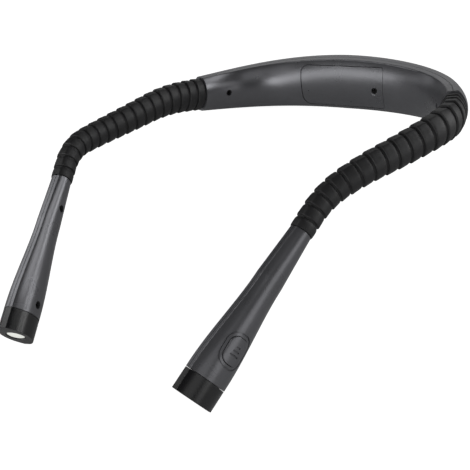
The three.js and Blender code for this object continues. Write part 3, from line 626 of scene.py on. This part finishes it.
def inner_wall(start, end):
    """A wall across the outer half of the yoke, from one distance to another along the cells."""
    bpy.ops.object.select_all(action="DESELECT")
    bpy.ops.mesh.primitive_cube_add(
        size=1, location=(0, 0, (start + end) / 2), scale=(*WALL_BLANK, end - start),
    )
    piece = bpy.context.object
    bpy.ops.object.transform_apply()
    piece.data.transform(cells_at)
    carve(piece, yoke_core(), "INTERSECT")
    seam_at = yoke_frame_over(COMPARTMENT_END - COMPARTMENT_LENGTH / 2 + (start + end) / 2)
    edit(piece)
    bpy.ops.mesh.bisect(
        plane_co=seam_at @ Vector((SEAM, 0, 0)), plane_no=seam_at.col[0].xyz, clear_inner=True,
        use_fill=True,
    )
    bpy.ops.object.mode_set(mode="OBJECT")
    return piece


cells_at = stack_frame()
half_length = COMPARTMENT_LENGTH / 2
walls = [
    inner_wall(-half_length - PARTITION, -half_length),
    inner_wall(half_length, half_length + PARTITION),
]
for share in CRADLE_PLACES:
    walls.append(inner_wall(
        share * COMPARTMENT_LENGTH - CRADLE_RIB / 2, share * COMPARTMENT_LENGTH + CRADLE_RIB / 2,
    ))
cell_rooms = []
for row in (-1, 1):
    bpy.ops.object.select_all(action="DESELECT")
    bpy.ops.mesh.primitive_cylinder_add(
        vertices=ROUND_SIDES, radius=CELL_DIAMETER / 2 + CELL_CLEARANCE, depth=COMPARTMENT_LENGTH,
        location=(0, row * (CELL_DIAMETER + CELL_CLEARANCE) / 2, 0),
    )
    room = bpy.context.object
    bpy.ops.object.transform_apply()
    room.data.transform(cells_at)
    cell_rooms.append(room)
for wall in walls[2:]:
    for room in cell_rooms:
        carve(wall, copied(room, "room"))
for room in cell_rooms:
    bpy.data.objects.remove(room)
for wall in walls:
    carve(yoke_back, wall, "UNION")
for screw_frame in yoke_screw_frames:
    post = bar("post", SCREW_POST_RADIUS, *SCREW_POST_REACH, screw_frame)
    carve(post, yoke_core(), "INTERSECT")
    carve(yoke_back, post, "UNION")
carve(yoke_back, bar("post", SCREW_POST_RADIUS, *COVER_POST_REACH, cover_screw_frame), "UNION")
set_down(yoke_back, grey_plastic)
rides(yoke_back, "yoke", "grey_plastic", "yoke_outer_shell")

# Arms. Each is a gooseneck in a sleeve of matt black rubber. The sleeve's bands overlap like
# shingles towards the head, with a narrow groove between them and a plain collar at the head. It
# tapers and bends, first round the shoulder and then down. It is shown in four stretches.
BAND = 7
ROOT_LENGTH = 14
STRETCH_LENGTHS = (28, 28, 21, 21)
STRETCH_BANDS = (6, 4, 3, 4)
END_BAND = 6.4
COLLAR_END = 10.2
SLEEVE_WALL = 1.1
BAND_PROFILE = (
    (0, 0.845), (0.45, 0.845), (0.75, 0.9), (1, 0.935), (1.5, 0.955), (3, 0.972), (5, 0.99),
    (5.8, 1), (6.2, 0.995), (6.4, 0.97), (6.5, 0.93), (6.55, 0.865), (7, 0.845),
)
ARM_START = section(7, 7, 9.8, 5.2)
ARM_END = section(5.5, 5.5, 5.9, 3.2)
RIGHT_BENDS = ((17.8, 44.4), (-3.3, 0.8), (10.5, 4.3), (15.1, -16.6))
LEFT_BENDS = ((14.3, 1.8), (-0.3, -1.8), (-5.3, 14.9), (32.3, 16.8))
SIDE_NAMES = (("right", 1, RIGHT_BENDS), ("left", -1, LEFT_BENDS))
arm_length = ROOT_LENGTH + sum(STRETCH_LENGTHS) + COLLAR_END


def bent(start, length, down, inward):
    """The frame at the far end of an arc that turns down and inward by two angles in degrees."""
    out, top, along = (start.col[i].xyz for i in range(3))
    turn = out * math.radians(down) - top * math.radians(inward)
    angle = turn.length
    if angle == 0:
        return start @ Matrix.Translation((0, 0, length))
    axis = turn.normalized()
    radius = length / angle
    place = (
        start.translation + along * radius * math.sin(angle)
        + axis.cross(along) * radius * (1 - math.cos(angle))
    )
    turned = Matrix.Rotation(angle, 3, axis) @ start.to_3x3()
    return Matrix.Translation(place) @ turned.to_4x4()


def arm_frame(bends, distance):
    """An arm's frame at a distance from its root. Both arms are made as the right one."""
    first = min(distance, ROOT_LENGTH)
    here = yoke_frame(1) @ Matrix.Translation((0, 0, first))
    rest = distance - first
    for length, (down, inward) in zip(STRETCH_LENGTHS, bends):
        share = min(rest, length) / length
        if share > 0:
            here = bent(here, share * length, share * down, share * inward)
        rest -= share * length
    return here @ Matrix.Translation((0, 0, rest))


def arm_section(distance):
    """The arm's section at a distance from its root. It tapers evenly to the head."""
    return ARM_START.lerp(ARM_END, max(0, distance) / arm_length)


WELD_DISTANCE = 0.01


def raised(name, profile, sides=SIDES):
    """An open tube drawn up from a circle, through each height and radius of its profile."""
    (height, radius), *steps = profile
    bpy.ops.object.select_all(action="DESELECT")
    bpy.ops.mesh.primitive_circle_add(vertices=sides, radius=radius, location=(0, 0, height))
    piece = bpy.context.object
    piece.name = name
    bpy.ops.object.transform_apply()
    edit(piece, "EDGE")
    for next_height, next_radius in steps:
        bpy.ops.mesh.extrude_region_move(
            TRANSFORM_OT_translate={"value": (0, 0, next_height - height)},
        )
        size = next_radius / radius
        bpy.ops.transform.resize(value=(size, size, 1), center_override=(0, 0, 0))
        height, radius = next_height, next_radius
    bpy.ops.mesh.select_all(action="SELECT")
    bpy.ops.mesh.normals_make_consistent(inside=False)
    bpy.ops.object.mode_set(mode="OBJECT")
    return piece


def banded(name, start, bands, band):
    """A straight stretch of the sleeve: a number of bands of one length from its start on."""
    profile = [(height * band / BAND, radius) for height, radius in BAND_PROFILE]
    piece = raised(name, profile)
    finished(
        piece, "ARRAY", count=bands, use_relative_offset=False, use_constant_offset=True,
        constant_offset_displace=(0, 0, band), use_merge_vertices=True,
        merge_threshold=WELD_DISTANCE,
    )
    piece.data.transform(Matrix.Translation((0, 0, start)))
    return piece


def add_collar(piece, start):
    """The plain ring at the sleeve's end, which runs on to the head."""
    collar = raised("collar", (
        (start, 0.845), (start + 0.45, 0.845), (start + 0.8, 0.93), (start + 1.4, 0.97),
        (start + 3, 0.99), (arm_length - 0.8, 0.985), (arm_length - 0.3, 0.965),
    ))
    only(piece)
    collar.select_set(True)
    bpy.ops.object.join()
    edit(piece, "VERT")
    bpy.ops.mesh.remove_doubles(threshold=WELD_DISTANCE)
    bpy.ops.object.mode_set(mode="OBJECT")


black_rubber = moulded("ribbed_black_rubber", (0.013, 0.013, 0.014), 0.5, 0.06, 1500, 0.25)
for side_name, side, bends in SIDE_NAMES:
    start = 0
    for index, (bands, length) in enumerate(zip(STRETCH_BANDS, STRETCH_LENGTHS)):
        last = index == len(STRETCH_BANDS) - 1
        band = END_BAND if last else BAND
        sleeve = banded(f"{side_name}_sleeve_skin_{index + 1}", start, bands, band)
        if last:
            add_collar(sleeve, start + bands * band)
        lay(sleeve, lambda distance: arm_frame(bends, distance), arm_section)
        thicken(sleeve, SLEEVE_WALL)
        set_down(sleeve, black_rubber, side)
        mirror = ON_TABLE @ Matrix.Diagonal((side, 1, 1, 1))
        start = max(start, ROOT_LENGTH)
        ends = [
            mirror @ arm_frame(bends, distance).translation for distance in (start, start + length)
        ]
        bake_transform(sleeve)
        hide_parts(f"{side_name}_sleeve_{index + 1}")
        start += length

# Lamp heads. Two shells of the grey plastic, parted along the middle of the flat top and bottom
# edges, and two screws in the inner one. They are narrow at the arm and flare towards the lamp.
HEAD_LENGTH = 87
HEAD_START = section(4.9, 4.9, 5.4, 3.2)
HEAD_WAIST = section(5.3, 5.3, 7.4, 3.2)
HEAD_END = section(7.4, 7.4, 11.3, 3.2)
WAIST_SHARE = 0.3
FULL_SHARE = 0.85
HEAD_WALL = 1.6
CAP_LENGTH = 10.5
HEAD_SOFTNESS = 0.2
HEAD_SCREWS = (17.5, 71)
HEAD_RINGS = 64
shell_end = HEAD_LENGTH - CAP_LENGTH


def head_section(distance):
    """The head's section at a distance from the arm. It swells evenly, and then in a soft flare."""
    share = min(max(distance / HEAD_LENGTH, 0), 1)
    if share < WAIST_SHARE:
        return HEAD_START.lerp(HEAD_WAIST, share / WAIST_SHARE)
    flare = min((share - WAIST_SHARE) / (FULL_SHARE - WAIST_SHARE), 1)
    return HEAD_WAIST.lerp(HEAD_END, flare * flare * (3 - 2 * flare))


def straight(distance):
    return Matrix.Translation((0, 0, distance))


def head_half(name, side):
    piece = blank(name, 0, shell_end, HEAD_RINGS)
    keep_half(piece, side)
    lay(piece, straight, head_section, side * SEAM, HEAD_SOFTNESS)
    thicken(piece, HEAD_WALL)
    return piece


TOOL_RINGS = 24


def grown_head(name, start, end, growth):
    """A solid of the head's shape, larger all round, or smaller where the growth is negative."""
    piece = blank(name, start, end, TOOL_RINGS)
    more = section(growth, growth, growth, growth)
    lay(piece, straight, lambda distance: head_section(distance) + more, 0, HEAD_SOFTNESS)
    return piece


BUTTON_PLACE = 60.5
BUTTON_LENGTH = 12.2
BUTTON_WIDTH = 10
BUTTON_CORNER = 3.6
BUTTON_GAP = 0.3
BUTTON_PROUD = 0.4
BUTTON_REACH = (1.5, 12)
BUTTON_CUT_REACH = (1, 13)
button_frame = straight(BUTTON_PLACE)


def button_shape(grow, reach=BUTTON_REACH):
    return cushion(
        "button_shape", BUTTON_LENGTH + 2 * grow, BUTTON_WIDTH + 2 * grow,
        BUTTON_CORNER + grow, BUTTON_CORNER + grow, reach, button_frame,
    )


COLLAR_WIDTH = 1.1
MOAT_WIDTH = 0.8
MOAT_DEPTH = 0.45
MOAT_SPAN = 14


def make_moat():
    """The shallow ring round the button's collar, as a solid to cut away."""
    moat = button_shape(BUTTON_GAP + COLLAR_WIDTH + MOAT_WIDTH)
    carve(moat, button_shape(BUTTON_GAP + COLLAR_WIDTH, BUTTON_CUT_REACH))
    start, end = BUTTON_PLACE - MOAT_SPAN, BUTTON_PLACE + MOAT_SPAN
    carve(moat, grown_head("inside", start, end, -MOAT_DEPTH))
    return moat


head_outer = head_half("head_outer", 1)
carve(head_outer, make_moat())
carve(head_outer, button_shape(BUTTON_GAP, BUTTON_CUT_REACH))
head_inner = head_half("head_inner", -1)
for distance in HEAD_SCREWS:
    sink_screw(head_inner, straight(distance), head_section(distance).x)

for side_name, side, bends in SIDE_NAMES:
    place = arm_frame(bends, arm_length)
    for half, node in ((head_outer, "head_outer_shell"), (head_inner, "head_inner_shell")):
        shell = copied(half, f"{side_name}_{half.name}")
        set_down(shell, grey_plastic, side, place)
        rides(shell, f"{side_name}_head", "grey_plastic", f"{side_name}_{node}")
for half in (head_outer, head_inner):
    bpy.data.objects.remove(half)

# Buttons. A rounded oblong key of the head's plastic in the outer shell over the switch. Its face
# follows the head's, a little proud, and has three plain bars engraved in it, each shorter than
# the one nearer to the lamp.
BAR_LENGTHS = (5, 3.7, 2.4)
BAR_SPACING = 1.9
BAR_WIDTH = 0.75
BAR_DEPTH = 0.4

KEY_SPAN = 12
KEY_EDGE = 0.35
KEY_EDGE_ANGLE = math.radians(50)
BAR_END = 0.3
BAR_OVERRUN = 0.1

key = button_shape(0)
key_face = grown_head("face", BUTTON_PLACE - KEY_SPAN, BUTTON_PLACE + KEY_SPAN, BUTTON_PROUD)
carve(key, key_face, "INTERSECT")
finished(
    key, "BEVEL", width=KEY_EDGE, segments=3, limit_method="ANGLE", angle_limit=KEY_EDGE_ANGLE,
)
for index, length in enumerate(BAR_LENGTHS):
    reach = head_section(BUTTON_PLACE).y + BUTTON_PROUD
    mark = cushion(
        "mark", BAR_WIDTH, length, BAR_END, BAR_END,
        (reach - BAR_DEPTH - BAR_OVERRUN, reach + 1),
        straight(BUTTON_PLACE + (1 - index) * BAR_SPACING),
    )
    carve(key, mark)
for side_name, side, bends in SIDE_NAMES:
    button = copied(key, f"{side_name}_key")
    set_down(button, grey_plastic, side, arm_frame(bends, arm_length))
    rides(button, f"{side_name}_button", "grey_plastic", f"{side_name}_button")
bpy.data.objects.remove(key)

# Lamps. A cap of glossier black plastic closes each head. Behind its round hole sit the lens, a
# mirror-plated reflector, and the LED on its board.
LENS_HOLE = 4.6
LENS_RADIUS = 4.35
FLANGE_RADIUS = 5.3
LAMP_BORE = 5.6
CAP_WALL = 1.6
CAP_RINGS = 8
CAP_EDGE_SHARE = 0.1
# The lens's glow is painted light: it stands in for the light that the white table below throws up
# onto the lens.
LENS_PAINTED_GLOW = (1, 1, 0.94, 1)
LENS_PAINTED_GLOW_STRENGTH = 0.42
cap_start = shell_end + 0.3
cap_back = HEAD_LENGTH - CAP_WALL


def turned(name, profile):
    """A turned solid with flat ends, along Z."""
    piece = raised(name, profile, 96)
    edit(piece, "EDGE")
    bpy.ops.mesh.select_all(action="DESELECT")
    bpy.ops.mesh.select_non_manifold()
    bpy.ops.mesh.edge_face_add()
    bpy.ops.mesh.select_all(action="SELECT")
    bpy.ops.mesh.normals_make_consistent(inside=False)
    bpy.ops.object.mode_set(mode="OBJECT")
    return piece


black_plastic = moulded(
    "gloss_black_plastic", (0.008, 0.008, 0.009), 0.26, 0.004, mottle=0.1, shine=0.7,
)
cap = blank("cap", cap_start, HEAD_LENGTH, CAP_RINGS)
edit_edges(cap, lambda a, b: min(a.z, b.z) > HEAD_LENGTH - 0.01)
bpy.ops.mesh.bevel(offset=CAP_EDGE_SHARE, segments=4, affect="EDGES")
bpy.ops.object.mode_set(mode="OBJECT")
lay(cap, straight, head_section, 0, HEAD_SOFTNESS)
carve(cap, turned("bore", ((cap_start - 1, LAMP_BORE), (cap_back, LAMP_BORE))))
carve(cap, turned("hole", (
    (cap_back - 1, LENS_HOLE), (HEAD_LENGTH - 0.3, LENS_HOLE),
    (HEAD_LENGTH + 0.2, LENS_HOLE + 0.3),
)))
lens = turned("lens", (
    (cap_back - 1.1, FLANGE_RADIUS), (cap_back - 0.3, FLANGE_RADIUS),
    (cap_back - 0.29, LENS_RADIUS),
    (HEAD_LENGTH - 0.8, LENS_RADIUS), (HEAD_LENGTH - 0.55, LENS_RADIUS - 0.15),
    (HEAD_LENGTH - 0.4, LENS_RADIUS - 0.5), (HEAD_LENGTH - 0.25, LENS_RADIUS - 1.6),
))
lens_white_with_painted_glow = moulded("frosted_lens_painted_glow", (0.74, 0.77, 0.72), 0.25, 0.05, 900, 0.25)
lens_paint = next(node for node in lens_white_with_painted_glow.node_tree.nodes if node.type == "BSDF_PRINCIPLED")
# Painted light: the lens glows although its LED is not lit.
lens_paint.inputs["Emission Color"].default_value = LENS_PAINTED_GLOW
lens_paint.inputs["Emission Strength"].default_value = LENS_PAINTED_GLOW_STRENGTH
for side_name, side, bends in SIDE_NAMES:
    place = arm_frame(bends, arm_length)
    for part, finish, slot in ((cap, black_plastic, "black_plastic"), (lens, lens_white_with_painted_glow, "lens")):
        piece = copied(part, f"{side_name}_{part.name}_front")
        set_down(piece, finish, side, place)
        rides(piece, f"{side_name}_head", slot, f"{side_name}_{part.name}")
for part in (cap, lens):
    bpy.data.objects.remove(part)

# Screws. Seven small pan-head screws of blackened steel with a cross slot, each sunk in a pocket.
SCREW_HEAD = 1.6
SCREW_HEAD_HEIGHT = 1.1
SCREW_SHANK = 0.9
SCREW_SINK = 0.8
SCREW_LENGTH = 6
SLOT_WIDTH = 0.45
SLOT_LENGTH = 2
SLOT_CORNER = 0.05

# The screws' near-black is partly the steel's black oxide and partly painted shade for the depth of
# their pockets.
blackened_steel_painted_shade = moulded(
    "blackened_steel_painted_shade", (0.004, 0.004, 0.004), 0.6, 0.004, 3000, 0.1, shine=0.2,
)
screw = turned("screw", (
    (0, SCREW_HEAD * 0.8), (0.12, SCREW_HEAD * 0.93), (0.4, SCREW_HEAD),
    (SCREW_HEAD_HEIGHT, SCREW_HEAD), (SCREW_HEAD_HEIGHT + 0.01, SCREW_SHANK),
    (SCREW_LENGTH, SCREW_SHANK),
))
for quarter in range(2):
    slot_tool = cushion(
        "slot", SLOT_WIDTH, SLOT_LENGTH, SLOT_CORNER, SLOT_CORNER, (-1, 1),
        Matrix.Rotation(-math.pi / 2, 4, "Y"),
    )
    slot_tool.data.transform(Matrix.Rotation(quarter * math.pi / 2, 4, "Z"))
    carve(screw, slot_tool)
screw.data.transform(Matrix.Rotation(math.pi / 2, 4, "Y"))


def put_screw(name, body, node, frame_at, reach, side=1):
    piece = copied(screw, name)
    place = frame_at @ Matrix.Translation((-reach + SCREW_SINK, 0, 0))
    set_down(piece, blackened_steel_painted_shade, side, place)
    rides(piece, body, "dark_steel", node)


for name, screw_frame in zip(("left", "right"), yoke_screw_frames):
    put_screw(
        f"yoke_screw_head_{name}", "yoke", f"yoke_screw_{name}", screw_frame, yoke_screw_reach,
    )
put_screw(
    "cover_screw_head", "battery_cover", "battery_cover_screw", cover_screw_frame, YOKE_MIDDLE.x,
)
for side_name, side, bends in SIDE_NAMES:
    for number, distance in enumerate(HEAD_SCREWS, 1):
        put_screw(
            f"{side_name}_shell_screw_{number}", f"{side_name}_head",
            f"{side_name}_head_screw_{number}", arm_frame(bends, arm_length) @ straight(distance),
            head_section(distance).x, side,
        )
bpy.data.objects.remove(screw)

# What lies inside, each with a finish of its own: the goosenecks' links, the cells with their
# contacts and leads, and the reflectors, LEDs, switches and boards.
dull_steel = moulded("dull_steel", (0.3, 0.3, 0.31), 0.4, 0.01)
nickel = moulded("nickel_plate", (0.6, 0.6, 0.58), 0.3, 0.004)
jacket = moulded("cell_jacket", (0.3, 0.31, 0.33), 0.35, 0.004)
red_lead = moulded("red_insulation", (0.35, 0.02, 0.015), 0.5, 0.01)
board_green = moulded("green_board", (0.02, 0.11, 0.045), 0.45, 0.01)
phosphor = moulded("yellow_phosphor", (0.75, 0.62, 0.15), 0.5, 0.01)
mirror_plate = moulded("mirror_plate", (0.75, 0.75, 0.73), 0.1, 0.002)
inside = [("cell_upper", jacket), ("cell_lower", jacket), ("contact_bridge", nickel)]
for row in ("upper", "lower"):
    inside += [(f"contact_plate_{row}", nickel), (f"contact_spring_{row}", nickel)]
inside += [("lead_left", red_lead), ("lead_right", red_lead)]
for side_name, side, bends in SIDE_NAMES:
    inside += [(f"{side_name}_link_{number}", dull_steel) for number in range(1, 6)]
    inside += [
        (f"{side_name}_reflector", mirror_plate), (f"{side_name}_led_board", board_green),
        (f"{side_name}_led", phosphor), (f"{side_name}_switch_board", board_green),
        (f"{side_name}_switch", black_plastic),
    ]
for node, finish in inside:
    mesh = bpy.data.objects[node].data
    mesh.materials.clear()
    mesh.materials.append(finish)
